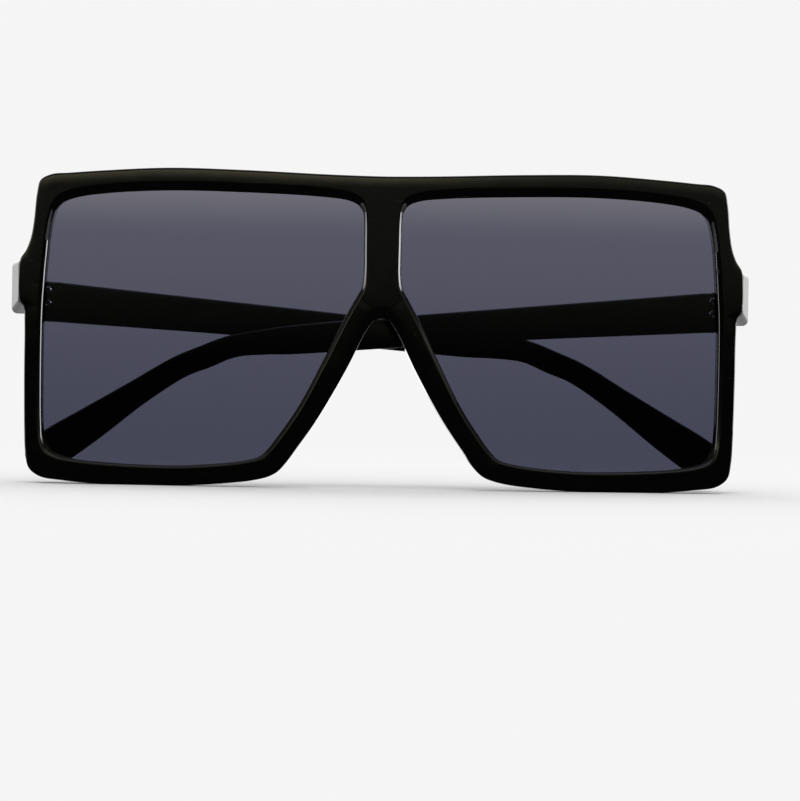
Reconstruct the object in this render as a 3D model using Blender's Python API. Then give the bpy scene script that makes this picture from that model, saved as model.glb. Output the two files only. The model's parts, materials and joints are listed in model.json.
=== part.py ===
"""Oversized flat-top square sunglasses, folded, standing on the lower rims.

+X is the wearer's left, -Y is the way the lenses face and +Z is up. The front is drawn flat, as
across and up, and then wrapped round a vertical axis behind it, with depth counted back from its face.
Each temple is drawn open, from its hinge axis, and then turned shut by the empty that carries it.
"""

import math

import bmesh
import bpy
from mathutils import Euler, Vector

# Front
FRONT_HALF_WIDTH = 0.0706
FRONT_HEIGHT = 0.0624
WRAP_RADIUS = 0.450
FRONT_THICKNESS = 0.0046
BROW_WIDTH = 0.00445
SIDE_WIDTH = 0.0039
SILL_WIDTH = 0.0042
LEG_WIDTH = 0.0045
BRIDGE_WIDTH = 0.0075
EDGE_RADIUS = 0.0004
BACK_RADIUS = 0.0006
FACE_CROWN = 0.00012
OPENING_CHAMFER = 0.00135
BACK_CHAMFER = 0.0003
LIP_DEPTH = 0.0017
STATIONS_PER_ROW = 2

# Lenses in their groove
LENS_THICKNESS = 0.0018
GROOVE_DEPTH = 0.0008
LENS_CLEARANCE = 0.0003
LENS_RINGS = 5

# Nose pads, moulded on the back of the two legs of the bridge
PAD_DEPTH = 0.0042
PAD_LENGTH = 0.0150
PAD_HEIGHT = 0.0215

# Hinges
HINGE_INSET = 0.0014
HINGE_BACK = 0.0130
HINGE_HEIGHT_SHARE = 0.59295
BARREL_RADIUS = 0.0012
KNUCKLE_HEIGHT = 0.0020
RUNNING_GAP = 0.0003
SCREW_RADIUS = 0.00055
SCREW_CLEARANCE = 0.0001
SCREW_HEAD_RADIUS = 0.00105
SCREW_HEAD_HEIGHT = 0.0006
SLOT_WIDTH = 0.0003
SLOT_DEPTH = 0.00025
LEAF_THICKNESS = 0.0007
LEAF_SET = 0.00015
LEAF_LENGTH = 0.0056
LEAF_HEIGHT = 0.0052
STEM_THICKNESS = 0.0009
STEM_LENGTH = 0.0045
STEM_HEIGHT = 0.0046
RIVET_RADIUS = 0.00045
RIVET_HEAD_RADIUS = 0.00065
RIVET_HEAD_HEIGHT = 0.00040
RIVET_SPACING = 0.0026
RIVET_ALONG = 0.0030
RIVET_GRIP = 0.0014
ROUND_SIDES = 24

# End pieces, which carry the hinges behind the outer corners of the front: how far they reach from
# the hinge's own middle at their back, and at their root in the rim
END_INWARDS = 0.0022
END_BELOW = 0.0036
END_ABOVE = 0.0068
END_ROOT_INWARDS = 0.0008
END_ROOT_OUTWARDS = 0.0017
END_ROOT_BELOW = 0.0019
END_ROOT_ABOVE = 0.0072
END_ROOT_DEPTH = 0.0018
END_CORNER = 0.0012
END_SECTIONS = 5

# Temples
TEMPLE_REACH = 0.1398
TEMPLE_DROP = 0.0333
TEMPLE_HEIGHT = 0.0094
TEMPLE_THICKNESS = 0.0028
TEMPLE_CORNER = 0.0009
TIP_RADIUS = 0.0038
TIP_LEAN = 33.0
BUTT_CHAMFER = 0.0003
FOLD_STAGGER = 1.35
STATIONS_PER_STRETCH = 3
CORNER_POINTS = 4

OVERRUN = 0.0020
SMOOTH_ANGLE = 38
WELD = 0.0000005

PLASTIC = ((0.012, 0.011, 0.011), 0.12, 0.0)
TINT = ((0.10, 0.10, 0.16), 0.04, 0.0)
BLACK_METAL = ((0.03, 0.03, 0.032), 0.35, 0.8)
STEEL = ((0.55, 0.55, 0.57), 0.25, 1.0)

BRIDGE_HALF = BRIDGE_WIDTH / 2
HINGE_X = FRONT_HALF_WIDTH - HINGE_INSET
HINGE_HEIGHT = HINGE_HEIGHT_SHARE * FRONT_HEIGHT
LENS_FRONT = LIP_DEPTH + LENS_CLEARANCE
GROOVE_BACK = LENS_FRONT + LENS_THICKNESS + LENS_CLEARANCE
TEMPLE_INNER = BARREL_RADIUS + RUNNING_GAP
TEMPLE_OUTER = TEMPLE_INNER + TEMPLE_THICKNESS
LEAF_OUTER = BARREL_RADIUS - LEAF_SET
LEAF_INNER = LEAF_OUTER - LEAF_THICKNESS
KNUCKLE_PITCH = KNUCKLE_HEIGHT + RUNNING_GAP
BARREL_HALF = KNUCKLE_PITCH + KNUCKLE_HEIGHT / 2

# Each row is a place round one half of the front, from the notch over the nose up the middle of the
# bridge, out along the brow, down the side past the hinge lug, in along the sill and up the leg.
# A row holds the outer edge as shares of the half width and the height, then the step from there to
# the opening, as a width and its share across, a width and its share up, and the chamfer's share.
RIM_SHARES = (
    (0.000, 0.540, BRIDGE_HALF, 1.33, LEG_WIDTH, 0.89, 0.50),
    (0.000, 0.587, BRIDGE_HALF, 1.09, LEG_WIDTH, 0.62, 0.50),
    (0.000, 0.665, BRIDGE_HALF, 1.00, LEG_WIDTH, 0.07, 0.55),
    (0.000, 0.769, BRIDGE_HALF, 1.00, BROW_WIDTH, 0.00, 0.60),
    (0.000, 0.865, BRIDGE_HALF, 1.01, BROW_WIDTH, -0.38, 0.60),
    (0.000, 0.938, BRIDGE_HALF, 1.07, BROW_WIDTH, -0.97, 0.70),
    (0.000, 0.983, BRIDGE_HALF, 1.31, BROW_WIDTH, -1.24, 0.85),
    (0.071, 0.984, BRIDGE_HALF, 0.50, BROW_WIDTH, -1.04, 0.95),
    (0.174, 0.987, BRIDGE_HALF, 0.05, BROW_WIDTH, -0.94, 1.00),
    (0.386, 0.996, SIDE_WIDTH, 0.00, BROW_WIDTH, -0.98, 1.00),
    (0.600, 1.000, SIDE_WIDTH, 0.00, BROW_WIDTH, -1.00, 1.00),
    (0.786, 0.989, SIDE_WIDTH, -0.10, BROW_WIDTH, -1.01, 1.00),
    (0.879, 0.981, SIDE_WIDTH, -0.31, BROW_WIDTH, -1.10, 1.00),
    (0.929, 0.976, SIDE_WIDTH, -0.54, BROW_WIDTH, -1.26, 0.95),
    (0.961, 0.957, SIDE_WIDTH, -0.81, BROW_WIDTH, -1.30, 0.85),
    (0.971, 0.915, SIDE_WIDTH, -0.87, BROW_WIDTH, -1.11, 0.70),
    (0.978, 0.833, SIDE_WIDTH, -0.90, BROW_WIDTH, -0.45, 0.60),
    (0.986, 0.777, SIDE_WIDTH, -0.97, BROW_WIDTH, -0.22, 0.60),
    (0.999, 0.736, SIDE_WIDTH, -1.15, BROW_WIDTH, -0.25, 0.60),
    (1.016, 0.705, SIDE_WIDTH, -1.41, BROW_WIDTH, -0.27, 0.60),
    (1.020, 0.657, SIDE_WIDTH, -1.44, BROW_WIDTH, -0.18, 0.60),
    (1.020, 0.601, SIDE_WIDTH, -1.39, BROW_WIDTH, -0.05, 0.60),
    (1.017, 0.575, SIDE_WIDTH, -1.31, BROW_WIDTH, -0.07, 0.60),
    (1.004, 0.553, SIDE_WIDTH, -1.06, BROW_WIDTH, -0.16, 0.60),
    (1.001, 0.505, SIDE_WIDTH, -0.99, BROW_WIDTH, -0.11, 0.60),
    (1.000, 0.345, SIDE_WIDTH, -0.97, SILL_WIDTH, 0.00, 0.60),
    (0.997, 0.176, SIDE_WIDTH, -0.97, SILL_WIDTH, 0.12, 0.55),
    (0.993, 0.096, SIDE_WIDTH, -0.97, SILL_WIDTH, 0.60, 0.50),
    (0.983, 0.048, SIDE_WIDTH, -1.00, SILL_WIDTH, 0.86, 0.45),
    (0.951, 0.021, SIDE_WIDTH, -0.87, SILL_WIDTH, 1.01, 0.40),
    (0.886, 0.010, SIDE_WIDTH, -0.50, SILL_WIDTH, 1.02, 0.35),
    (0.771, 0.000, SIDE_WIDTH, -0.25, SILL_WIDTH, 1.03, 0.35),
    (0.571, 0.000, SIDE_WIDTH, 0.00, SILL_WIDTH, 0.96, 0.35),
    (0.443, 0.009, SIDE_WIDTH, 0.13, SILL_WIDTH, 0.95, 0.35),
    (0.343, 0.023, SIDE_WIDTH, 0.51, SILL_WIDTH, 0.92, 0.35),
    (0.296, 0.040, SIDE_WIDTH, 0.69, SILL_WIDTH, 0.86, 0.40),
    (0.266, 0.070, LEG_WIDTH, 0.75, LEG_WIDTH, 0.67, 0.45),
    (0.229, 0.127, LEG_WIDTH, 0.79, LEG_WIDTH, 0.59, 0.50),
    (0.173, 0.220, LEG_WIDTH, 0.87, LEG_WIDTH, 0.50, 0.50),
    (0.097, 0.372, LEG_WIDTH, 0.97, LEG_WIDTH, 0.49, 0.50),
    (0.042, 0.497, LEG_WIDTH, 0.99, LEG_WIDTH, 0.49, 0.50),
    (0.021, 0.528, LEG_WIDTH, 0.97, LEG_WIDTH, 0.72, 0.50),
)
TOP_ROW = 6

# A temple's centre line and form: shares of its reach, of its drop below the hinge (up is negative),
# of its height at the butt, and of the tip's lean.
TEMPLE_SHARES = (
    (0.000, -0.030, 1.000, 0.00),
    (0.015, 0.029, 0.863, 0.10),
    (0.035, 0.035, 0.851, 0.14),
    (0.063, 0.044, 0.835, 0.14),
    (0.142, 0.069, 0.788, 0.14),
    (0.321, 0.126, 0.699, 0.14),
    (0.500, 0.191, 0.661, 0.14),
    (0.607, 0.232, 0.629, 0.18),
    (0.657, 0.252, 0.553, 0.36),
    (0.700, 0.278, 0.491, 0.53),
    (0.743, 0.347, 0.505, 0.78),
    (0.786, 0.427, 0.501, 0.91),
    (0.843, 0.582, 0.567, 0.98),
    (0.900, 0.747, 0.720, 1.00),
    (0.943, 0.866, 0.810, 1.00),
    (0.970, 0.940, 0.809, 1.00),
)
TIP_ROUNDING_SHARES = (0.35, 0.65, 0.86, 0.97)


def clear_scene():
    for old in list(bpy.data.objects):
        bpy.data.objects.remove(old, do_unlink=True)


def finish_material(name, look):
    colour, roughness, metallic = look
    made = bpy.data.materials.new(name)
    made.use_nodes = True
    shader = made.node_tree.nodes["Principled BSDF"]
    shader.inputs["Base Color"].default_value = (*colour, 1.0)
    shader.inputs["Roughness"].default_value = roughness
    shader.inputs["Metallic"].default_value = metallic
    return made


def carrier(name, place, parent=None, turn=0.0):
    empty = bpy.data.objects.new(name, None)
    empty.location = place
    empty.rotation_euler = Euler((0.0, 0.0, turn))
    empty.parent = parent
    bpy.context.scene.collection.objects.link(empty)
    return empty


def mesh_of(form, name):
    """Turns a bmesh into a mesh whose faces point outwards."""
    bmesh.ops.recalc_face_normals(form, faces=form.faces)
    if form.calc_volume(signed=True) < 0:
        bmesh.ops.reverse_faces(form, faces=form.faces)
    mesh = bpy.data.meshes.new(name)
    form.to_mesh(mesh)
    form.free()
    return mesh


def add_solid(name, form, parent, look, side=1):
    """Makes an object of a bmesh, mirrored across X where side is -1."""
    for vert in form.verts:
        vert.co.x *= side
    mesh = mesh_of(form, name)
    mesh.shade_smooth()
    mesh.set_sharp_from_angle(angle=math.radians(SMOOTH_ANGLE))
    mesh.materials.append(finish_material(name, look))
    solid = bpy.data.objects.new(name, mesh)
    solid.parent = parent
    bpy.context.scene.collection.objects.link(solid)
    return solid


def combined(form, *steps):
    """Joins or cuts a bmesh with others, each given as an operation and a bmesh."""
    objects = []
    for mesh in [mesh_of(form, "whole")] + [mesh_of(tool, "tool") for _, tool in steps]:
        objects.append(bpy.data.objects.new(mesh.name, mesh))
        bpy.context.scene.collection.objects.link(objects[-1])
    for (operation, _), tool in zip(steps, objects[1:]):
        step = objects[0].modifiers.new(tool.name, "BOOLEAN")
        step.operation = operation
        step.object = tool
        step.solver = "EXACT"
    graph = bpy.context.evaluated_depsgraph_get()
    result = bmesh.new()
    result.from_mesh(objects[0].evaluated_get(graph).to_mesh())
    for used in objects:
        bpy.data.objects.remove(used, do_unlink=True)
    bmesh.ops.remove_doubles(result, verts=result.verts, dist=WELD)
    return result


def box(low, high):
    form = bmesh.new()
    bmesh.ops.create_cube(form, size=1)
    for vert in form.verts:
        vert.co = Vector(high[i] if vert.co[i] > 0 else low[i] for i in range(3))
    return form


def turned(profile):
    """A solid turned round Z from (radius, height) pairs, with flat ends."""
    form = bmesh.new()
    turns = [2 * math.pi * i / ROUND_SIDES for i in range(ROUND_SIDES)]
    rings = []
    for radius, height in profile:
        rings.append([form.verts.new((radius * math.cos(a), radius * math.sin(a), height)) for a in turns])
    skin_rings(form, rings)
    return form


def rod(radius, low, high):
    return turned([(radius, low), (radius, high)])


def skin_rings(form, rings, closed=False):
    """Joins rings of vertices with quads and, on an open run, caps both ends."""
    pairs = list(zip(rings, rings[1:])) + ([(rings[-1], rings[0])] if closed else [])
    for near, far in pairs:
        for i in range(len(near)):
            j = (i + 1) % len(near)
            form.faces.new((near[i], near[j], far[j], far[i]))
    if not closed:
        form.faces.new(rings[0])
        form.faces.new(rings[-1])


def curve_point(points, t):
    """A centripetal curve through four points, read between the second and the third."""
    knots = [0.0]
    for a, b in zip(points, points[1:]):
        knots.append(knots[-1] + max(math.dist(a, b), 1e-9) ** 0.5)
    at = knots[1] + t * (knots[2] - knots[1])
    blend = [Vector(p) for p in points]
    for spans in ((0, 1), (1, 2), (2, 3)), ((0, 2), (1, 3)), ((1, 2),):
        shares = [(at - knots[left]) / (knots[right] - knots[left]) for left, right in spans]
        blend = [a.lerp(b, share) for a, b, share in zip(blend, blend[1:], shares)]
    return blend[0]


def open_curve(points, steps, before=None, after=None):
    """Points along a smooth curve through all the points, with both ends, and ghost points past them."""
    first, last = Vector(points[0]), Vector(points[-1])
    ghosts = [before or 2 * first - Vector(points[1]), *points, after or 2 * last - Vector(points[-2])]
    found = []
    for i in range(len(points) - 1):
        found += [curve_point(ghosts[i : i + 4], step / steps) for step in range(steps)]
    return found + [last]


def rim_stations():
    """(outer point, opening point, chamfer) round one half of the front, in its flat drawing."""
    outer, inner = [], []
    for across, up, wide, wide_share, high, high_share, chamfer_share in RIM_SHARES:
        edge = Vector((across * FRONT_HALF_WIDTH, up * FRONT_HEIGHT, 0))
        outer.append(edge)
        step = Vector((wide * wide_share, high * high_share, chamfer_share * OPENING_CHAMFER))
        inner.append(edge + step)
    middle = open_curve(outer[: TOP_ROW + 1], STATIONS_PER_ROW)
    rest = outer[TOP_ROW:] + outer[:1]
    mirrored = [Vector((-p.x, p.y, 0)) for p in (rest[1], rest[-2])]
    outside = middle[:-1] + open_curve(rest, STATIONS_PER_ROW, *mirrored)[:-1]
    loop = inner + inner[:1]
    opening = open_curve(loop, STATIONS_PER_ROW, inner[-1], inner[1])[:-1]
    stations = []
    for edge, hole in zip(outside, opening):
        flat = Vector((edge.x, max(edge.y, 0)))
        stations.append((flat, Vector((hole.x, hole.y)), hole.z))
    return stations


def wrapped(flat, depth):
    """The place in the round of a point of the flat drawing, that much behind the face."""
    turn = flat.x / WRAP_RADIUS
    radius = WRAP_RADIUS - depth
    return Vector((radius * math.sin(turn), WRAP_RADIUS - radius * math.cos(turn), flat.y))


def pad_swell(edge):
    """How far the back swells into a nose pad at this place on the outer edge, from 0 to 1."""
    if edge.x > PAD_HEIGHT or edge.y > PAD_HEIGHT + PAD_LENGTH:
        return 0.0
    share = (edge.y - PAD_HEIGHT) / PAD_LENGTH
    return max(0.0, 1 - share * share) ** 2 if edge.x > 0 else 0.0


def rim_profile(width, chamfer, pad, inland):
    """(distance from the opening, depth) pairs round the rim's section.

    On the middle of the bridge the section runs inland into its mirror image, with no outer edge.
    """
    half = math.sqrt(0.5)
    front = min(chamfer, LIP_DEPTH - LENS_CLEARANCE)
    back = FRONT_THICKNESS
    swell = pad * PAD_DEPTH
    outer_edge = [
        (width - EDGE_RADIUS, FACE_CROWN),
        (width - EDGE_RADIUS * (1 - half), EDGE_RADIUS * (1 - half) + FACE_CROWN),
        (width, EDGE_RADIUS),
        (width, back - BACK_RADIUS + swell * 0.55),
        (width - BACK_RADIUS * (1 - half), back - BACK_RADIUS * (1 - half) + swell * 0.85),
        (width - BACK_RADIUS, back + swell * 0.95),
    ]
    if inland:
        outer_edge = [(width, 0)] * 3 + [(width, back)] * 3
    return [
        (0, LIP_DEPTH),
        (0, front),
        (chamfer, FACE_CROWN),
        ((width + chamfer - EDGE_RADIUS) / 2, 0),
        *outer_edge,
        (width / 2, back + swell),
        (BACK_CHAMFER, back + swell * 0.15),
        (0, back - BACK_CHAMFER),
        (0, GROOVE_BACK),
        (GROOVE_DEPTH, GROOVE_BACK),
        (GROOVE_DEPTH, LIP_DEPTH),
    ]


def front_form():
    """Both rims, the bridge and the pads as one closed mesh: one half, and its mirror image."""
    form = bmesh.new()
    for side in (1, -1):
        rings = []
        for n, (edge, hole, chamfer) in enumerate(rim_stations()):
            width = (edge - hole).length
            way = (edge - hole) / width
            inland = 0 < n < TOP_ROW * STATIONS_PER_ROW
            ring = []
            for distance, depth in rim_profile(width, chamfer, pad_swell(edge), inland):
                place = wrapped(hole + way * distance, depth)
                place.x = 0 if abs(place.x) < FACE_CROWN / 100 else place.x * side
                ring.append(form.verts.new(place))
            rings.append(ring)
        skin_rings(form, rings, closed=True)
    inside = [face for face in form.faces if all(vert.co.x == 0 for vert in face.verts)]
    bmesh.ops.delete(form, geom=inside, context="FACES")
    bmesh.ops.remove_doubles(form, verts=form.verts, dist=FACE_CROWN / 10)
    return form


def rounded_section(half_wide, half_high, corner):
    """A rounded rectangle round its middle, as (across, up) pairs."""
    points = []
    for quarter, (sx, sy) in enumerate(((1, 1), (-1, 1), (-1, -1), (1, -1))):
        for i in range(CORNER_POINTS):
            a = math.pi / 2 * (quarter + i / (CORNER_POINTS - 1))
            x = sx * (half_wide - corner) + corner * math.cos(a)
            points.append((x, sy * (half_high - corner) + corner * math.sin(a)))
    return points


def end_piece_form():
    """The block behind the hinge lug: it flares outwards and down to meet the temple's butt."""
    back = HINGE_BACK - RUNNING_GAP / 2
    root = wrapped(Vector((HINGE_X + END_ROOT_OUTWARDS, 0)), END_ROOT_DEPTH).y
    form = bmesh.new()
    rings = []
    for i in range(END_SECTIONS):
        t = i / (END_SECTIONS - 1)
        flare = math.sin(t * math.pi / 2)
        inner_x = HINGE_X - END_ROOT_INWARDS - (END_INWARDS - END_ROOT_INWARDS) * t
        outer_x = HINGE_X + END_ROOT_OUTWARDS + (TEMPLE_OUTER - END_ROOT_OUTWARDS) * flare
        low = HINGE_HEIGHT - END_ROOT_BELOW - (END_BELOW - END_ROOT_BELOW) * t
        high = HINGE_HEIGHT + END_ROOT_ABOVE + (END_ABOVE - END_ROOT_ABOVE) * t
        middle = Vector(((inner_x + outer_x) / 2, root + (back - root) * t, (low + high) / 2))
        corner = min(END_CORNER, (outer_x - inner_x) * 0.45)
        section = rounded_section((outer_x - inner_x) / 2, (high - low) / 2, corner)
        rings.append([form.verts.new(middle + Vector((x, 0, z))) for x, z in section])
    skin_rings(form, rings)
    return form


def mirror_image(form):
    other = form.copy()
    for vert in other.verts:
        vert.co.x = -vert.co.x
    return other


def front_with_ends():
    """The front with both end pieces, each with room for its hinge barrel and a pocket for its stem."""
    reach = BARREL_RADIUS + RUNNING_GAP
    half_wide = STEM_THICKNESS / 2 + RUNNING_GAP
    half_high = STEM_HEIGHT / 2 + RUNNING_GAP
    room_top = HINGE_HEIGHT + BARREL_HALF + SCREW_HEAD_HEIGHT + 2 * RUNNING_GAP
    room_low = (HINGE_X - END_INWARDS - OVERRUN, HINGE_BACK - reach, HINGE_HEIGHT - END_BELOW - OVERRUN)
    room_high = (HINGE_X + TEMPLE_INNER, HINGE_BACK + OVERRUN, room_top)
    pocket_low = (HINGE_X - half_wide, HINGE_BACK - STEM_LENGTH - RUNNING_GAP, HINGE_HEIGHT - half_high)
    pocket_high = (HINGE_X + half_wide, HINGE_BACK, HINGE_HEIGHT + half_high)
    steps = []
    for operation, tool in (
        ("UNION", end_piece_form()),
        ("DIFFERENCE", box(room_low, room_high)),
        ("DIFFERENCE", box(pocket_low, pocket_high)),
    ):
        steps += [(operation, mirror_image(tool)), (operation, tool)]
    return combined(front_form(), *steps)


def lens_form():
    """A lens whose edge sits in the groove: rings from the edge to the middle, on both faces."""
    edge = []
    for outer, hole, _ in rim_stations():
        edge.append(hole + (outer - hole).normalized() * (GROOVE_DEPTH - LENS_CLEARANCE))
    centre = sum(edge, Vector((0, 0))) / len(edge)
    form = bmesh.new()
    faces = []
    for depth in (LENS_FRONT, LENS_FRONT + LENS_THICKNESS):
        rings = []
        for ring in range(LENS_RINGS):
            share = 1 - ring / LENS_RINGS
            rings.append([form.verts.new(wrapped(centre + (p - centre) * share, depth)) for p in edge])
        for near, far in zip(rings, rings[1:]):
            for i in range(len(near)):
                j = (i + 1) % len(near)
                form.faces.new((near[i], near[j], far[j], far[i]))
        middle = form.verts.new(wrapped(centre, depth))
        last = rings[-1]
        for i in range(len(last)):
            form.faces.new((last[i], last[(i + 1) % len(last)], middle))
        faces.append(rings[0])
    front, back = faces
    for i in range(len(front)):
        j = (i + 1) % len(front)
        form.faces.new((front[i], front[j], back[j], back[i]))
    return form


def temple_form():
    """The temple as it lies open: outwards is +X, back is +Y, up is +Z, from the hinge axis."""
    rows = []
    for along, drop, height, lean in TEMPLE_SHARES:
        place = (RUNNING_GAP / 2 + along * TEMPLE_REACH, -drop * TEMPLE_DROP)
        rows.append(Vector((*place, height * TEMPLE_HEIGHT, lean * TEMPLE_REACH)))
    middle = TEMPLE_INNER + TEMPLE_THICKNESS / 2
    sections = []
    for along, up, height, lean in open_curve(rows, STATIONS_PER_STRETCH):
        turn = -math.radians(TIP_LEAN) * lean / TEMPLE_REACH
        sections.append((along, up, height / 2, TEMPLE_THICKNESS / 2, turn))
    along, up, _, _, turn = sections[-1]
    for share in TIP_ROUNDING_SHARES:
        fall = math.sqrt(1 - share * share)
        step = share * TIP_RADIUS
        thickness = TEMPLE_THICKNESS / 2 * (0.5 + 0.5 * fall)
        sections.append((along + step * math.cos(turn), up + step * math.sin(turn), fall * TIP_RADIUS, thickness, turn))
    first = sections[0]
    chamfered = (first[0], first[1], first[2] - BUTT_CHAMFER, first[3] - BUTT_CHAMFER, first[4])
    sections[0] = (first[0] + BUTT_CHAMFER, *first[1:])
    sections.insert(0, chamfered)
    form = bmesh.new()
    rings = []
    for along, up, half_high, half_wide, turn in sections:
        corner = min(TEMPLE_CORNER, half_wide * 0.6, half_high * 0.6)
        ring = []
        for x, z in rounded_section(half_wide, half_high, corner):
            ring.append(form.verts.new((middle + x, along - z * math.sin(turn), up + z * math.cos(turn))))
        rings.append(ring)
    skin_rings(form, rings)
    return form


def sideways(form, at):
    """Turns a solid made round Z so that its axis runs outwards along X, through a point."""
    for vert in form.verts:
        vert.co = Vector(at) + Vector((vert.co.z, vert.co.y, -vert.co.x))
    return form


def rivet_form(at):
    seat = LEAF_INNER - SCREW_CLEARANCE
    tip = TEMPLE_INNER + RIVET_GRIP
    profile = [
        (RIVET_HEAD_RADIUS * 0.25, seat - RIVET_HEAD_HEIGHT),
        (RIVET_HEAD_RADIUS * 0.7, seat - RIVET_HEAD_HEIGHT * 0.8),
        (RIVET_HEAD_RADIUS, seat - RIVET_HEAD_HEIGHT * 0.3),
        (RIVET_HEAD_RADIUS, seat),
        (RIVET_RADIUS, seat),
        (RIVET_RADIUS, tip),
    ]
    return sideways(turned(profile), at)


def rivet_hole(at):
    depth = TEMPLE_INNER + RIVET_GRIP + RUNNING_GAP
    return sideways(rod(RIVET_RADIUS + SCREW_CLEARANCE, LEAF_INNER - OVERRUN, depth), at)


def temple_leaf_form(rivets):
    """A plate on the temple's inner face, with the middle knuckle of the hinge."""
    half = KNUCKLE_HEIGHT / 2
    start = BARREL_RADIUS + RUNNING_GAP
    plate = box((LEAF_INNER, start, -LEAF_HEIGHT / 2), (LEAF_OUTER, LEAF_LENGTH, LEAF_HEIGHT / 2))
    tab = box((LEAF_INNER, 0, -half), (LEAF_OUTER, start + LEAF_THICKNESS, half))
    bore = rod(SCREW_RADIUS + SCREW_CLEARANCE, -half - OVERRUN, half + OVERRUN)
    steps = [("UNION", tab), ("UNION", rod(BARREL_RADIUS, -half, half)), ("DIFFERENCE", bore)]
    return combined(plate, *steps, *(("DIFFERENCE", rivet_hole(at)) for at in rivets))


def front_leaf_form():
    """The stem that is sunk in the end piece, with the upper and lower knuckles."""
    half_stem = STEM_THICKNESS / 2
    start = BARREL_RADIUS + RUNNING_GAP
    stem = box((-half_stem, -STEM_LENGTH, -STEM_HEIGHT / 2), (half_stem, -start, STEM_HEIGHT / 2))
    steps = []
    for way in (1, -1):
        foot = way * (KNUCKLE_PITCH - KNUCKLE_HEIGHT / 2)
        low, high = sorted((foot, way * STEM_HEIGHT / 2))
        steps.append(("UNION", box((-half_stem, -start - STEM_THICKNESS, low), (half_stem, 0, high))))
        low, high = sorted((foot, way * BARREL_HALF))
        steps.append(("UNION", rod(BARREL_RADIUS, low, high)))
    bore = rod(SCREW_RADIUS + SCREW_CLEARANCE, -BARREL_HALF - OVERRUN, BARREL_HALF + OVERRUN)
    return combined(stem, *steps, ("DIFFERENCE", bore))


def screw_form():
    seat = BARREL_HALF + SCREW_CLEARANCE
    top = seat + SCREW_HEAD_HEIGHT
    profile = [
        (SCREW_RADIUS, -BARREL_HALF),
        (SCREW_RADIUS, seat),
        (SCREW_HEAD_RADIUS, seat),
        (SCREW_HEAD_RADIUS, top - SLOT_DEPTH),
        (SCREW_HEAD_RADIUS * 0.8, top),
    ]
    reach = SCREW_HEAD_RADIUS + SLOT_WIDTH
    slot = box((-reach, -SLOT_WIDTH / 2, top - SLOT_DEPTH), (reach, SLOT_WIDTH / 2, top + SLOT_DEPTH))
    return combined(turned(profile), ("DIFFERENCE", slot))


def make_front(root):
    add_solid("front_frame", front_with_ends(), root, PLASTIC)
    for side, word in ((1, "left"), (-1, "right")):
        add_solid(f"lens_{word}", lens_form(), root, TINT, side)
        line = carrier(f"hinge_line_{word}", (side * HINGE_X, HINGE_BACK, HINGE_HEIGHT), root)
        add_solid(f"hinge_front_leaf_{word}", front_leaf_form(), line, BLACK_METAL, side)
        add_solid(f"hinge_screw_{word}", screw_form(), line, STEEL, side)


def make_temple(word, side, hinge):
    """A temple with its hinge leaf and the two rivets that hold it."""
    rivets = {"upper": (0, RIVET_ALONG, RIVET_SPACING / 2), "lower": (0, RIVET_ALONG, -RIVET_SPACING / 2)}
    holes = [("DIFFERENCE", rivet_hole(at)) for at in rivets.values()]
    add_solid(f"temple_{word}", combined(temple_form(), *holes), hinge, PLASTIC, side)
    add_solid(f"hinge_temple_leaf_{word}", temple_leaf_form(rivets.values()), hinge, BLACK_METAL, side)
    for name, at in rivets.items():
        add_solid(f"hinge_rivet_{name}_{word}", rivet_form(at), hinge, STEEL, side)


def main():
    clear_scene()
    stagger = math.radians(FOLD_STAGGER)
    depth = HINGE_BACK + TEMPLE_OUTER * math.cos(stagger) + TEMPLE_REACH * math.sin(stagger)
    root = carrier("sunglasses", (0, -depth / 2, 0))
    make_front(root)
    for side, word in ((1, "left"), (-1, "right")):
        axis = (side * HINGE_X, HINGE_BACK, HINGE_HEIGHT)
        shut = side * math.pi / 2 + stagger
        make_temple(word, side, carrier(f"hinge_axis_{word}", axis, root, shut))


main()
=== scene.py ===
# %% [markdown]
# # Folded square sunglasses
# The object is a pair of oversized sunglasses with a flat top: one moulded front, two tinted lenses and two
# temples that fold on small screw hinges. The solids that carry and move it are loaded first. Each of them
# stays where it is, and the pieces made below either stand for one of them or give it its finish. Every size
# is in metres.

import json
import math

import bmesh
import bpy
from mathutils import Matrix, Vector


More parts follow.
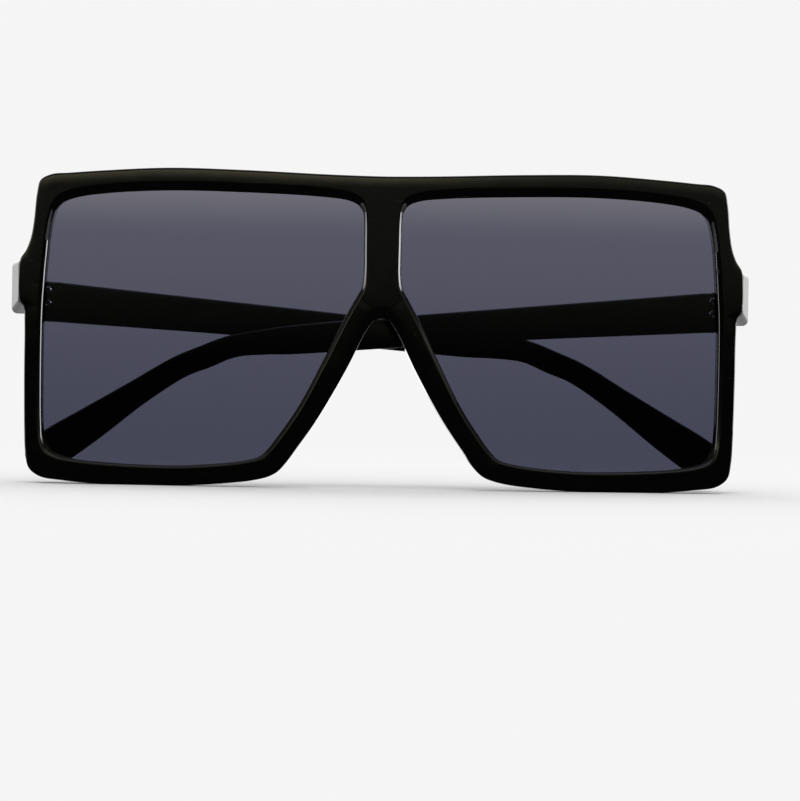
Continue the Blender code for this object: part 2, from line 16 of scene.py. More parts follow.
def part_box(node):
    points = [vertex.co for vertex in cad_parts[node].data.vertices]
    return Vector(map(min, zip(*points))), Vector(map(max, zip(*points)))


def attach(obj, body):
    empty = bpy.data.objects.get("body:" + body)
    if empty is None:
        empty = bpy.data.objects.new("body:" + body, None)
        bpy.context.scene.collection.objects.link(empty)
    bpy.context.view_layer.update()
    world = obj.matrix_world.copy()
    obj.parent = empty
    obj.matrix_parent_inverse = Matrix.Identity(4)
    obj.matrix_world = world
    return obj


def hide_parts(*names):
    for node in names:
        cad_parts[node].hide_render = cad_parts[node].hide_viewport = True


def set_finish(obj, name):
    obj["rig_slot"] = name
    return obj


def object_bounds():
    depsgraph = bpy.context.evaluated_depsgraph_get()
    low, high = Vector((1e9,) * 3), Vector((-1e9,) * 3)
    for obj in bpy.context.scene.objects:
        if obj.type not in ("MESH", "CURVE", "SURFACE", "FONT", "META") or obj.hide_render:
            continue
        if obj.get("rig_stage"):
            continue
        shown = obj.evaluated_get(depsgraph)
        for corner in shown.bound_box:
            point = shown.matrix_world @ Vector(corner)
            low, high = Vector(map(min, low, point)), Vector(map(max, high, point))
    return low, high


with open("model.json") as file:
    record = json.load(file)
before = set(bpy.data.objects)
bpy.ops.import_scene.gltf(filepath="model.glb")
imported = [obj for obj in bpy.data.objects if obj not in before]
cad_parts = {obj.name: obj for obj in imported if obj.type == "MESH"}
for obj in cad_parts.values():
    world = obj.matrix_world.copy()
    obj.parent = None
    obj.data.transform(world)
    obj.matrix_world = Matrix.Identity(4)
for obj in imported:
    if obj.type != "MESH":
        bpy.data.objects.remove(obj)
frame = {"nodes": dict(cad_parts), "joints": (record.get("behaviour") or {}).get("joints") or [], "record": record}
solid_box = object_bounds()

# %% [markdown]
# ## A smooth line through a few points
# The outlines of moulded eyewear are drawn as smooth curves through a few chosen points. A curve that is
# paced by the square root of the distance between its points never loops or swings wide where the points
# lie close together, as they do round the corners of a lens opening, so it suits uneven spacing.

# %% Smooth line
LEAST_GAP = 1e-9
PACING = 0.5


def between(points, t):
    """The place at t, from 0 to 1, between the second and the third of four points."""
    pace = [0.0]
    for a, b in zip(points, points[1:]):
        pace.append(pace[-1] + max((b - a).length, LEAST_GAP) ** PACING)
    at = pace[1] + t * (pace[2] - pace[1])
    blend = list(points)
    for spans in ((0, 1), (1, 2), (2, 3)), ((0, 2), (1, 3)), ((1, 2),):
        shares = [(at - pace[left]) / (pace[right] - pace[left]) for left, right in spans]
        blend = [a.lerp(b, share) for a, b, share in zip(blend, blend[1:], shares)]
    return blend[0]


def smooth_line(points, steps, before=None, after=None):
    """Points along a smooth line through all the given ones, which it keeps."""
    reach = [before or 2 * points[0] - points[1], *points, after or 2 * points[-1] - points[-2]]
    line = []
    for i in range(len(points) - 1):
        line += [between(reach[i : i + 4], step / steps) for step in range(steps)]
    return line + [points[-1]]


trial = smooth_line([Vector((n, 0)) for n in range(3)], 4)
print("a line through 3 points in 4 steps has", len(trial), "points")

# %% [markdown]
# ## The outline of the front
# One half of the front is drawn flat. Each row below is a place round the rim: from the notch over the nose,
# up the middle of the bridge, along the brow, down the side past the hinge lug, in along the sill and up the
# leg of the bridge. It gives the outer edge as shares of the half width and the height, then the step from
# there to the lens opening, as two widths with their shares, and the share of the opening's chamfer.

# %% Sizes of the front
FRONT_HALF_WIDTH = 0.0706
FRONT_HEIGHT = 0.0624
BROW_WIDTH = 0.00445
SIDE_WIDTH = 0.0039
SILL_WIDTH = 0.0042
LEG_WIDTH = 0.0045
BRIDGE_HALF = 0.00375
OPENING_CHAMFER = 0.00135
TOP_ROW = 6
RIM_SHARES = (
    (0.000, 0.537, BRIDGE_HALF, 1.33, LEG_WIDTH, 0.93, 0.50),
    (0.000, 0.587, BRIDGE_HALF, 1.09, LEG_WIDTH, 0.62, 0.50),
    (0.000, 0.665, BRIDGE_HALF, 1.00, LEG_WIDTH, 0.07, 0.50),
    (0.000, 0.769, BRIDGE_HALF, 1.00, BROW_WIDTH, 0.00, 0.50),
    (0.000, 0.865, BRIDGE_HALF, 1.01, BROW_WIDTH, -0.38, 0.50),
    (0.000, 0.938, BRIDGE_HALF, 1.07, BROW_WIDTH, -0.97, 0.60),
    (0.000, 0.983, BRIDGE_HALF, 1.31, BROW_WIDTH, -1.29, 0.85),
    (0.071, 0.984, BRIDGE_HALF, 0.50, BROW_WIDTH, -1.10, 0.95),
    (0.174, 0.987, BRIDGE_HALF, 0.05, BROW_WIDTH, -0.99, 1.00),
    (0.386, 0.996, SIDE_WIDTH, 0.00, BROW_WIDTH, -0.98, 1.00),
    (0.600, 1.000, SIDE_WIDTH, 0.00, BROW_WIDTH, -1.00, 1.00),
    (0.786, 0.989, SIDE_WIDTH, -0.10, BROW_WIDTH, -1.01, 1.00),
    (0.879, 0.981, SIDE_WIDTH, -0.31, BROW_WIDTH, -1.10, 1.00),
    (0.929, 0.976, SIDE_WIDTH, -0.54, BROW_WIDTH, -1.26, 0.95),
    (0.961, 0.957, SIDE_WIDTH, -0.78, BROW_WIDTH, -1.30, 0.85),
    (0.971, 0.915, SIDE_WIDTH, -0.81, BROW_WIDTH, -1.11, 0.75),
    (0.978, 0.833, SIDE_WIDTH, -0.83, BROW_WIDTH, -0.45, 0.60),
    (0.986, 0.777, SIDE_WIDTH, -0.90, BROW_WIDTH, -0.22, 0.60),
    (0.999, 0.736, SIDE_WIDTH, -1.08, BROW_WIDTH, -0.25, 0.60),
    (1.016, 0.705, SIDE_WIDTH, -1.34, BROW_WIDTH, -0.27, 0.60),
    (1.020, 0.657, SIDE_WIDTH, -1.37, BROW_WIDTH, -0.18, 0.60),
    (1.020, 0.601, SIDE_WIDTH, -1.32, BROW_WIDTH, -0.05, 0.60),
    (1.017, 0.575, SIDE_WIDTH, -1.24, BROW_WIDTH, -0.07, 0.60),
    (1.004, 0.553, SIDE_WIDTH, -0.99, BROW_WIDTH, -0.16, 0.60),
    (1.001, 0.505, SIDE_WIDTH, -0.92, BROW_WIDTH, -0.11, 0.60),
    (1.000, 0.345, SIDE_WIDTH, -0.90, SILL_WIDTH, 0.00, 0.60),
    (0.997, 0.176, SIDE_WIDTH, -0.90, SILL_WIDTH, 0.12, 0.55),
    (0.993, 0.096, SIDE_WIDTH, -0.91, SILL_WIDTH, 0.60, 0.50),
    (0.983, 0.048, SIDE_WIDTH, -0.96, SILL_WIDTH, 0.86, 0.45),
    (0.951, 0.021, SIDE_WIDTH, -0.87, SILL_WIDTH, 1.01, 0.40),
    (0.886, 0.010, SIDE_WIDTH, -0.50, SILL_WIDTH, 1.02, 0.35),
    (0.771, 0.000, SIDE_WIDTH, -0.25, SILL_WIDTH, 1.03, 0.35),
    (0.571, 0.000, SIDE_WIDTH, 0.00, SILL_WIDTH, 0.96, 0.35),
    (0.443, 0.009, SIDE_WIDTH, 0.13, SILL_WIDTH, 0.95, 0.35),
    (0.343, 0.023, SIDE_WIDTH, 0.51, SILL_WIDTH, 0.92, 0.35),
    (0.296, 0.040, SIDE_WIDTH, 0.69, SILL_WIDTH, 0.86, 0.40),
    (0.266, 0.070, LEG_WIDTH, 0.75, LEG_WIDTH, 0.67, 0.45),
    (0.229, 0.127, LEG_WIDTH, 0.79, LEG_WIDTH, 0.59, 0.50),
    (0.173, 0.220, LEG_WIDTH, 0.87, LEG_WIDTH, 0.50, 0.50),
    (0.097, 0.372, LEG_WIDTH, 0.97, LEG_WIDTH, 0.49, 0.50),
    (0.042, 0.497, LEG_WIDTH, 0.99, LEG_WIDTH, 0.49, 0.50),
    (0.021, 0.528, LEG_WIDTH, 0.97, LEG_WIDTH, 0.72, 0.50),
)
print("places round half a rim:", len(RIM_SHARES))

# %% [markdown]
# ## Stations round the rim
# The outer edge and the opening are two lines that are walked in step. Eight steps between neighbouring rows
# give a line so fine that a reflection runs along the gloss without kinks. The middle of the bridge has no
# outer edge: the stations there end on the centre line, where the other half carries on, and they crowd
# towards the notch and the top so that the rounded edges there run across the middle unbroken.

# %% Walk the rim
STEPS_PER_ROW = 8


def rim_stations():
    """(outer point, opening point, chamfer) round one half of the front."""
    outer = []
    opening = []
    for across, up, wide, wide_share, high, high_share, chamfer_share in RIM_SHARES:
        edge = Vector((across * FRONT_HALF_WIDTH, up * FRONT_HEIGHT, 0))
        inwards = Vector((wide * wide_share, high * high_share, chamfer_share * OPENING_CHAMFER))
        outer.append(edge)
        opening.append(edge + inwards)
    bridge = smooth_line(outer[: TOP_ROW + 1], STEPS_PER_ROW)
    for step in range(1, STEPS_PER_ROW):
        near = (step / STEPS_PER_ROW) ** 2
        bridge[step] = outer[0].lerp(outer[1], near)
        bridge[-1 - step] = outer[TOP_ROW].lerp(outer[TOP_ROW - 1], near)
    rest = outer[TOP_ROW:] + outer[:1]
    mirrored = [Vector((-p.x, p.y, 0)) for p in (rest[1], rest[-2])]
    outer_line = bridge[:-1] + smooth_line(rest, STEPS_PER_ROW, *mirrored)[:-1]
    opening_line = smooth_line(opening + opening[:1], STEPS_PER_ROW, opening[-1], opening[1])[:-1]
    return [
        (Vector((edge.x, max(edge.y, 0))), Vector((hole.x, hole.y)), hole.z)
        for edge, hole in zip(outer_line, opening_line)
    ]


def mm(length):
    """A length in millimetres, for printing."""
    return round(length * 1000, 2)


stations = rim_stations()
narrowest = min((edge - hole).length for edge, hole, _ in stations)
print("stations:", len(stations), "narrowest rim:", mm(narrowest), "mm")

# %% [markdown]
# ## The section of the rim
# Cut through, the rim is a small block: a chamfer down to the lens, a flat face that rolls over a little
# towards the outer edge, rounded outer corners, and a groove that the lens snaps into. Every corner is drawn
# sharp and then eased, and no easing takes more than a limited share of a side. Polishing has rounded the
# chamfer so far that little of it is flat, so a light far to the side shows in it as a thin line with black
# on either side. Behind the legs of the bridge the back swells into the nose pads. The corners are listed
# from the lens round the face and the back to the groove, and the one that the face rolls over is counted
# out, because its curve is worked out and not eased.

# %% Draw the section
FRONT_THICKNESS = 0.0046
EDGE_RADIUS = 0.0004
BACK_RADIUS = 0.0006
BACK_CHAMFER = 0.0003
BACK_STEP = 0.00035
ROLL_REACH = 0.0022
ROLL_DEPTH = 0.00006
ROLL_FROM_CHAMFER = 1.4
LIP_DEPTH = 0.0017
LENS_THICKNESS = 0.0018
LENS_CLEARANCE = 0.0003
GROOVE_DEPTH = 0.0008
PAD_DEPTH = 0.0042
PAD_LENGTH = 0.0150
PAD_HEIGHT = 0.0215
PAD_FURTHEST_ACROSS = 0.0215
PAD_EDGE_SHARE = 0.8
PAD_EASE_SHARE = 0.4
PAD_FOOT_SHARE = 0.05
CHAMFER_EASE_SHARE = 0.35
MOUTH_EASE = 0.0006
LIP_EASE = 0.0001
SIDE_LIMIT = 0.45
EASE_STEPS = 6
EDGE_STEPS = 2 * EASE_STEPS + 1
FACE_EDGE = 3
LENS_FRONT = LIP_DEPTH + LENS_CLEARANCE
LENS_BACK = LENS_FRONT + LENS_THICKNESS
GROOVE_BACK = LENS_BACK + LENS_CLEARANCE
EASE_SHARES = [step / EASE_STEPS for step in range(EASE_STEPS + 1)]
EDGE_SHARES = [(1 - step / EDGE_STEPS) ** 3 for step in range(EDGE_STEPS + 1)]


def eased(corner, before, after, reach):
    """Points that round a corner off, starting and ending within reach of it."""
    start, end = (
        corner + (other - corner).normalized() * min(reach, (other - corner).length * SIDE_LIMIT)
        for other in (before, after)
    )
    return [start.lerp(corner, t).lerp(corner.lerp(end, t), t) for t in EASE_SHARES]


def fall(distance, radius):
    """How far a rounded edge has fallen at this distance from it."""
    return radius * (1 - math.sqrt(min(distance / radius, 1))) ** 2


def face_depth(distance):
    """How far the face lies back at this distance from the outer edge."""
    return fall(distance, EDGE_RADIUS) + ROLL_DEPTH * max(0, 1 - distance / ROLL_REACH) ** 2


def back_depth(distance):
    """How far behind the face the back lies at this distance from the outer edge."""
    return FRONT_THICKNESS - fall(distance, BACK_RADIUS)


def pad_swell(edge):
    """How far the back swells into a nose pad at a place on the outer edge."""
    share = (edge.y - PAD_HEIGHT) / PAD_LENGTH
    beside_nose = 0 < edge.x <= PAD_FURTHEST_ACROSS and abs(share) < 1
    return (1 - share * share) ** 2 * PAD_DEPTH if beside_nose else 0.0


def rim_section(width, chamfer, swell, lean=1.0):
    """(distance from the opening, depth behind the face) round the rim, cut at a lean to the outer edge."""
    back = FRONT_THICKNESS
    reach = min(ROLL_REACH / lean, width - ROLL_FROM_CHAMFER * chamfer)
    face_edge = [Vector((width - reach * near, face_depth(ROLL_REACH * near))) for near in EDGE_SHARES]
    corners = [
        ((0, LIP_DEPTH), LIP_EASE),
        ((0, min(chamfer, LIP_DEPTH - LENS_CLEARANCE)), MOUTH_EASE),
        ((chamfer, 0), chamfer * CHAMFER_EASE_SHARE),
        ((width, 0), 0),
        ((width, back + swell * PAD_EDGE_SHARE), BACK_RADIUS + swell * PAD_EASE_SHARE),
        ((width / 2, back + swell), width),
        ((BACK_STEP, back + swell * PAD_FOOT_SHARE), BACK_CHAMFER),
        ((BACK_STEP, GROOVE_BACK), LIP_EASE),
        ((GROOVE_DEPTH, GROOVE_BACK), LIP_EASE / 2),
        ((GROOVE_DEPTH, LIP_DEPTH), LIP_EASE / 2),
    ]
    points = [Vector(corner) for corner, _ in corners]
    section = []
    for i, (_, ease) in enumerate(corners):
        if i == FACE_EDGE:
            section += face_edge
        else:
            section += eased(points[i], points[i - 1], points[(i + 1) % len(points)], ease)
    return section


sample = rim_section(BROW_WIDTH, OPENING_CHAMFER, 0)
print("points round a section:", len(sample), "depth:", mm(max(p.y for p in sample)), "mm")

# %% [markdown]
# ## Bend and skin the front
# The flat drawing is wrapped round a wide upright cylinder, as a moulded front wraps round a face, and the
# sections are skinned from station to station. The second half is the mirror image of the first. On the
# bridge the face runs across the middle, so the last points there lie on the centre line and only ease away
# where they come close to the top edge or to the notch.

# %% Build the front
WRAP_RADIUS = 0.450
SEAM = 1e-7
INSIDE_START = FACE_EDGE * len(EASE_SHARES)
INSIDE_SPAN = slice(INSIDE_START, INSIDE_START + len(EDGE_SHARES) + len(EASE_SHARES))
front_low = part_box("front_frame")[0]


def wrapped(flat, depth):
    """The place in the round of a point of the flat drawing, that far behind the face."""
    turn = flat.x / WRAP_RADIUS
    radius = WRAP_RADIUS - depth
    return Vector((radius * math.sin(turn), front_low.y + WRAP_RADIUS - radius * math.cos(turn), flat.y))


def bridge_section(edge, hole, chamfer):
    """The section on the middle of the bridge, which ends on the centre line."""
    width = (edge - hole).length
    section = rim_section(width, chamfer, 0)
    notch, top = (RIM_SHARES[row][1] * FRONT_HEIGHT for row in (0, TOP_ROW))
    edges = ((ROLL_REACH, EDGE_SHARES, face_depth), (BACK_RADIUS, EASE_SHARES, back_depth))
    inside = []
    for reach, shares, depth_at in edges:
        for share in shares:
            place = width - reach * share
            height = hole.y + (edge.y - hole.y) * place / width
            inside.append(Vector((place, depth_at(min(top - height, height - notch)))))
    section[INSIDE_SPAN] = inside
    return section


def edge_lean(n):
    """How squarely the section of a station meets the outer edge: 1 is square."""
    edge, hole, _ = stations[n]
    along = stations[(n + 1) % len(stations)][0] - stations[n - 1][0]
    if edge.x == 0:
        along = Vector((1, 0))
    return abs((edge - hole).normalized().cross(along.normalized()))


def skin(form, rings, closed):
    """Joins rings of vertices with quads and caps an open run."""
    for near, far in list(zip(rings, rings[1:])) + ([(rings[-1], rings[0])] if closed else []):
        for i in range(len(near)):
            j = (i + 1) % len(near)
            form.faces.new((near[i], near[j], far[j], far[i]))
    if not closed:
        form.faces.new(rings[0])
        form.faces.new(rings[-1])


def front_mesh():
    """Both rims and the bridge as one closed form: one half, and its mirror image."""
    form = bmesh.new()
    for side in (1, -1):
        rings = []
        for n, (edge, hole, chamfer) in enumerate(stations):
            way = (edge - hole).normalized()
            if 0 < n < TOP_ROW * STEPS_PER_ROW:
                section = bridge_section(edge, hole, chamfer)
            else:
                section = rim_section((edge - hole).length, chamfer, pad_swell(edge), edge_lean(n))
            ring = []
            for distance, depth in section:
                place = wrapped(hole + way * distance, depth)
                place.x = 0 if abs(place.x) < SEAM else place.x * side
                ring.append(form.verts.new(place))
            rings.append(ring)
        skin(form, rings, closed=True)
    inside = [face for face in form.faces if all(vert.co.x == 0 for vert in face.verts)]
    bmesh.ops.delete(form, geom=inside, context="FACES")
    bmesh.ops.remove_doubles(form, verts=form.verts, dist=SEAM)
    return form


front_form = front_mesh()
print("faces of the front:", len(front_form.faces))

# %% [markdown]
# ## From a form to a piece
# Each finished form becomes an object that faces outwards, is shaded smooth and keeps its flats flat:
# weighting a corner's normal by the area of the faces round it stops the eased edges from bending the
# reflections in the flats beside them. Edges that turn by more than the crease angle stay sharp. The piece
# then rides on its body and stands for its solid.

# %% Make a piece
MOULDED_CREASE = 50
CUT_CREASE = 35
LENS_CREASE = 30
FLATS_WEIGHT = 70


def make_piece(name, form, body, slot, stands_for=(), crease=MOULDED_CREASE):
    bmesh.ops.recalc_face_normals(form, faces=form.faces)
    if form.calc_volume(signed=True) < 0:
        bmesh.ops.reverse_faces(form, faces=form.faces)
    mesh = bpy.data.meshes.new(name)
    form.to_mesh(mesh)
    form.free()
    mesh.shade_smooth()
    mesh.set_sharp_from_angle(angle=math.radians(crease))
    piece = bpy.data.objects.new(name, mesh)
    bpy.context.scene.collection.objects.link(piece)
    flats = piece.modifiers.new("flats stay flat", "WEIGHTED_NORMAL")
    flats.keep_sharp = True
    flats.weight = FLATS_WEIGHT
    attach(piece, body)
    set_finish(piece, slot)
    if stands_for:
        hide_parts(*stands_for)
    print(name, len(mesh.polygons), "faces, on", body)
    return piece


front = make_piece("moulded_front", front_form, "front", "frame_plastic", ["front_frame"])

# %% [markdown]
# ## The end pieces
# Behind each hinge lug the moulding runs back as a block that carries the hinge and meets the end of the
# temple flush. Its outer side leans out only a little, so that from the front it is seen at a very flat angle
# and mirrors the pale room behind. A loft of rounded sections makes it, and the room for the hinge barrel and
# the pocket for its stem are cut out of its back.

# %% Sizes of the hinge
RUNNING_GAP = 0.0003
BARREL_RADIUS = 0.0012
KNUCKLE_HEIGHT = 0.0020
TEMPLE_THICKNESS = 0.0028
SCREW_HEAD_HEIGHT = 0.0006
STEM_THICKNESS = 0.0009
STEM_LENGTH = 0.0045
STEM_HEIGHT = 0.0046
TEMPLE_INNER = BARREL_RADIUS + RUNNING_GAP
TEMPLE_OUTER = TEMPLE_INNER + TEMPLE_THICKNESS
BARREL_HALF = KNUCKLE_HEIGHT * 1.5 + RUNNING_GAP
hinges = {joint["name"]: Vector(joint["pos_m"]) for joint in frame["joints"]}
hinge_line = hinges["fold_left"]
print("hinge line:", [mm(value) for value in hinge_line], "mm")

# %% Loft an end piece
END_INWARDS = 0.0022
END_BELOW = 0.0036
END_ABOVE = 0.0068
ROOT_INWARDS = 0.0008
ROOT_OUTWARDS = 0.0026
ROOT_BELOW = 0.0019
ROOT_ABOVE = 0.0072
ROOT_DEPTH = 0.0018
END_CORNER = 0.0012
END_SECTIONS = 13
ROUND_POINTS = 7
OVERRUN = 0.0020


def rounded_box(half_wide, half_high, corner):
    """A rounded rectangle round its middle, as (across, up) pairs."""
    points = []
    for quarter, (sx, sy) in enumerate(((1, 1), (-1, 1), (-1, -1), (1, -1))):
        for i in range(ROUND_POINTS):
            a = math.pi / 2 * (quarter + i / (ROUND_POINTS - 1))
            x = sx * (half_wide - corner) + corner * math.cos(a)
            points.append((x, sy * (half_high - corner) + corner * math.sin(a)))
    return points


def on_side(place, side):
    """A place given for the left side, on either side."""
    return place.x * side, place.y, place.z


def end_piece_mesh(side):
    """A loft from the root in the rim back to the temple's butt, before it is cut."""
    back = hinge_line.y - RUNNING_GAP / 2
    root = wrapped(Vector((hinge_line.x + ROOT_OUTWARDS, 0)), ROOT_DEPTH).y
    form = bmesh.new()
    rings = []
    for i in range(END_SECTIONS):
        t = i / (END_SECTIONS - 1)
        inner = hinge_line.x - ROOT_INWARDS - (END_INWARDS - ROOT_INWARDS) * t
        outer = hinge_line.x + ROOT_OUTWARDS + (TEMPLE_OUTER - ROOT_OUTWARDS) * t
        low = hinge_line.z - ROOT_BELOW - (END_BELOW - ROOT_BELOW) * t
        high = hinge_line.z + ROOT_ABOVE + (END_ABOVE - ROOT_ABOVE) * t
        middle = Vector(((inner + outer) / 2, root + (back - root) * t, (low + high) / 2))
        corner = min(END_CORNER, (outer - inner) * SIDE_LIMIT)
        section = rounded_box((outer - inner) / 2, (high - low) / 2, corner)
        places = [middle + Vector((x, 0, z)) for x, z in section]
        rings.append([form.verts.new(on_side(place, side)) for place in places])
    skin(form, rings, closed=False)
    bmesh.ops.recalc_face_normals(form, faces=form.faces)
    return form


print("an end piece has", len(end_piece_mesh(1).faces), "faces before it is cut")

# %% [markdown]
# ## Cutting
# A cut is a Boolean difference with plain blocks. The result is kept as the piece's own mesh, and the blocks
# are thrown away, so that nothing extra stays in the scene.


# %% Cut out the hinge's room
def block(low, high):
    form = bmesh.new()
    bmesh.ops.create_cube(form, size=1)
    for vert in form.verts:
        vert.co = Vector(high[i] if vert.co[i] > 0 else low[i] for i in range(3))
    return form


def cut(form, tools):
    """The form with the tools cut out of it."""
    objects = []
    for part in (form, *tools):
        bmesh.ops.recalc_face_normals(part, faces=part.faces)
        mesh = bpy.data.meshes.new("cutting")
        part.to_mesh(mesh)
        part.free()
        objects.append(bpy.data.objects.new("cutting", mesh))
        bpy.context.scene.collection.objects.link(objects[-1])
    for tool in objects[1:]:
        step = objects[0].modifiers.new("cut", "BOOLEAN")
        step.operation = "DIFFERENCE"
        step.object = tool
    graph = bpy.context.evaluated_depsgraph_get()
    result = bmesh.new()
    result.from_mesh(objects[0].evaluated_get(graph).to_mesh())
    for used in objects:
        bpy.data.objects.remove(used, do_unlink=True)
    return result


def sided_block(low, high, side):
    """A block given for the left hinge, on either side."""
    xs = sorted((low[0] * side, high[0] * side))
    return block((xs[0], *low[1:]), (xs[1], *high[1:]))


def cut_end_piece(side):
    """An end piece with room for its hinge barrel and a pocket for its stem."""
    reach = BARREL_RADIUS + RUNNING_GAP
    half_wide = STEM_THICKNESS / 2 + RUNNING_GAP
    half_high = STEM_HEIGHT / 2 + RUNNING_GAP
    x, y, z = hinge_line
    room_low = (x - END_INWARDS - OVERRUN, y - reach, z - END_BELOW - OVERRUN)
    room_high = (x + TEMPLE_INNER, y + OVERRUN, z + BARREL_HALF + SCREW_HEAD_HEIGHT + 2 * RUNNING_GAP)
    pocket_low = (x - half_wide, y - STEM_LENGTH - RUNNING_GAP, z - half_high)
    pocket_high = (x + half_wide, y, z + half_high)
    tools = [sided_block(room_low, room_high, side), sided_block(pocket_low, pocket_high, side)]
    return cut(end_piece_mesh(side), tools)


ends = [
    make_piece(f"end_piece_{word}", cut_end_piece(side), "front", "frame_plastic", crease=CUT_CREASE)
    for side, word in ((1, "left"), (-1, "right"))
]

# %% [markdown]
# ## The lenses
# Each lens is a sheet cut to the opening's outline plus what sits in the groove, and bent like the front. It
# is built as rings from the edge to the middle on both faces, so that every facet is small and the bend in
# the two faces stays even. The rim of the sheet is eased, as a cut lens edge is.

# %% Build the lenses
LENS_RINGS = 12
LENS_EASE = 0.00015


def lens_mesh(side):
    """A lens as wall, rings and hub on both faces, joined round its edge."""
    seat = GROOVE_DEPTH - LENS_CLEARANCE
    edge = [hole + (outer - hole).normalized() * seat for outer, hole, _ in stations]
    centre = sum(edge, Vector((0, 0))) / len(edge)
    eased_edge = [p + (centre - p).normalized() * LENS_EASE for p in edge]
    loops = []
    for depth, ease in ((LENS_FRONT, LENS_EASE), (LENS_BACK, -LENS_EASE)):
        face = []
        for ring in range(LENS_RINGS):
            share = 1 - ring / LENS_RINGS
            face.append([wrapped(centre + (p - centre) * share, depth) for p in eased_edge])
        wall = [wrapped(p, depth + ease) for p in edge]
        loops.append((wall, face, wrapped(centre, depth)))
    form = bmesh.new()
    walls = []
    for wall, face, middle in loops:
        rings = [[form.verts.new(on_side(p, side)) for p in ring] for ring in [wall, *face]]
        hub = form.verts.new(on_side(middle, side))
        walls.append(rings[0])
        for near, far in zip(rings, rings[1:]):
            for i in range(len(near)):
                form.faces.new((near[i - 1], near[i], far[i], far[i - 1]))
        for i in range(len(rings[-1])):
            form.faces.new((rings[-1][i - 1], rings[-1][i], hub))
    front_wall, back_wall = walls
    for i in range(len(front_wall)):
        form.faces.new((front_wall[i - 1], front_wall[i], back_wall[i], back_wall[i - 1]))
    return form


lenses = [
    make_piece(f"tinted_lens_{word}", lens_mesh(side), "front", "lens_plastic", [f"lens_{word}"], LENS_CREASE)
    for side, word in ((1, "left"), (-1, "right"))
]

# %% [markdown]
# ## The temples
# A temple is wide at the hinge and narrows towards the ear, where it leans down and ends in a rounded tip. It
# is drawn as it lies open, from the hinge line straight back, and then swung shut round that line, the way
# the real one folds. The wearer's left temple folds first, a little turned in, and the right one lies on it.

# %% Draw a temple
TEMPLE_REACH = 0.1398
TEMPLE_DROP = 0.0333
TEMPLE_HEIGHT = 0.0094
TEMPLE_CORNER = 0.0009
TIP_RADIUS = 0.0038
TIP_LEAN = math.radians(33)
TIP_THINS_TO = 0.5
CORNER_LIMIT = 0.6
BUTT_EASE = 0.0003
FOLD_STAGGER = math.radians(1.35)
STEPS_PER_STRETCH = 8
TIP_STEPS = 12
TEMPLE_SHARES = (
    (0.000, -0.030, 1.000, 0.00),
    (0.015, 0.029, 0.863, 0.10),
    (0.035, 0.035, 0.851, 0.14),
    (0.063, 0.044, 0.835, 0.14),
    (0.142, 0.069, 0.788, 0.14),
    (0.321, 0.126, 0.699, 0.14),
    (0.500, 0.191, 0.661, 0.14),
    (0.607, 0.232, 0.629, 0.18),
    (0.657, 0.252, 0.553, 0.36),
    (0.700, 0.278, 0.491, 0.53),
    (0.743, 0.347, 0.505, 0.78),
    (0.786, 0.427, 0.501, 0.91),
    (0.843, 0.582, 0.567, 0.98),
    (0.900, 0.747, 0.720, 1.00),
    (0.943, 0.866, 0.810, 1.00),
    (0.970, 0.940, 0.809, 1.00),
)


def temple_sections():
    """(along, up, half height, half thickness, lean) from the butt to the tip."""
    rows = []
    for along, drop, height, lean in TEMPLE_SHARES:
        place = (RUNNING_GAP / 2 + along * TEMPLE_REACH, -drop * TEMPLE_DROP)
        rows.append(Vector((*place, height * TEMPLE_HEIGHT, lean * TEMPLE_REACH)))
    half = TEMPLE_THICKNESS / 2
    sections = []
    for along, up, height, lean in smooth_line(rows, STEPS_PER_STRETCH):
        sections.append((along, up, height / 2, half, -TIP_LEAN * lean / TEMPLE_REACH))
    along, up, _, _, lean = sections[-1]
    for step in range(1, TIP_STEPS):
        turn = math.pi / 2 * step / TIP_STEPS
        ahead = TIP_RADIUS * math.sin(turn)
        thin = half * (TIP_THINS_TO + (1 - TIP_THINS_TO) * math.cos(turn))
        place = (along + ahead * math.cos(lean), up + ahead * math.sin(lean))
        sections.append((*place, TIP_RADIUS * math.cos(turn), thin, lean))
    along, up, half_high, half_wide, lean = sections[0]
    sections[0] = (along + BUTT_EASE, up, half_high, half_wide, lean)
    sections.insert(0, (along, up, half_high - BUTT_EASE, half_wide - BUTT_EASE, lean))
    return sections


print("sections along a temple:", len(temple_sections()))

# %% Skin and fold the temples
def temple_mesh(side, hinge):
    """A temple drawn open and swung shut round its hinge line."""
    shut = Matrix.Rotation(side * math.pi / 2 + FOLD_STAGGER, 4, "Z")
    middle = TEMPLE_INNER + TEMPLE_THICKNESS / 2
    form = bmesh.new()
    rings = []
    for along, up, half_high, half_wide, lean in temple_sections():
        corner = min(TEMPLE_CORNER, half_wide * CORNER_LIMIT, half_high * CORNER_LIMIT)
        ring = []
        for x, z in rounded_box(half_wide, half_high, corner):
            place = Vector(((middle + x) * side, along - z * math.sin(lean), up + z * math.cos(lean)))
            ring.append(form.verts.new(hinge + shut @ place))
        rings.append(ring)
    skin(form, rings, closed=False)
    return form


temples = [
    make_piece(
        f"moulded_temple_{word}",
        temple_mesh(side, hinges[f"fold_{word}"]),
        f"temple_arm_{word}",
        "frame_plastic",
        [f"temple_{word}"],
    )
    for side, word in ((1, "left"), (-1, "right"))
]

# %% [markdown]
# ## Marks of handling
# Polished plastic is never quite clean: it carries hair-fine scratches from cloths and pockets, and faint
# cloudy smudges. The same marks lie on the black plastic, the lenses and the metal, so they are a node group
# that each finish places with its own sizes. Stretched noise gives scratches, soft noise gives smudges.

# %% Node helpers
# Where a mix node keeps its two colours and the mixed one
COLOUR_A, COLOUR_B, COLOUR_OUT = 6, 7, 2


